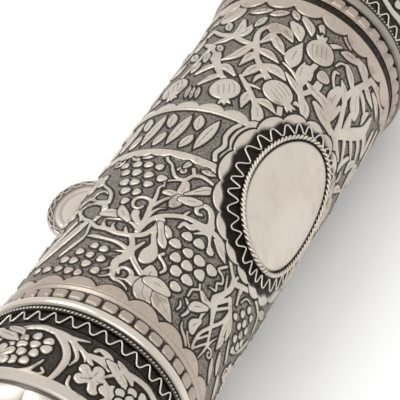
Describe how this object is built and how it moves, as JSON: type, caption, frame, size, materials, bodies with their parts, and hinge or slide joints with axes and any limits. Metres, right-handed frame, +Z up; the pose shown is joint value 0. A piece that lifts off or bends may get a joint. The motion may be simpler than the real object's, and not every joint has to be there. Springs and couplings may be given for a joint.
{
  "type": "cased esther scroll",
  "caption": "Chased silver tube case for a small scroll, lying on its side, with rings, domed ends, handle, finial, oval cartouche and a thumb plate on its pull bar.",
  "frame": {"origin": "on the floor, under the middle of the whole case", "axes": "+X along the case towards the finial, +Y towards the pull bar and thumb plate, +Z up"},
  "size_m": [0.2606, 0.0551, 0.0475],
  "materials": {
    "chased_silver": "chased silver, satin, oxidised dark in the lines and grey in the matted ground",
    "polished_silver": "polished silver, warm, lightly tarnished",
    "blackened_silver": "chased silver with a nearly black oxidised ground"
  },
  "bodies": {
    "root": {"case_tube": "chased_silver", "lower_bead_band": "chased_silver", "lower_ring": "polished_silver", "lower_twisted_wire": "chased_silver", "lower_zigzag_wire": "polished_silver", "lower_drum": "blackened_silver", "lower_dome": "chased_silver", "upper_bead_band": "chased_silver", "upper_ring": "polished_silver", "upper_twisted_wire": "chased_silver", "upper_zigzag_wire": "polished_silver", "upper_drum": "blackened_silver", "upper_dome": "chased_silver", "handle": "polished_silver", "finial": "polished_silver", "cartouche_plate": "polished_silver", "cartouche_twisted_wire": "chased_silver", "cartouche_zigzag_wire": "polished_silver", "pull_bar": "polished_silver", "thumb_plate": "polished_silver", "thumb_rim": "chased_silver"}
  },
  "joints": []
}
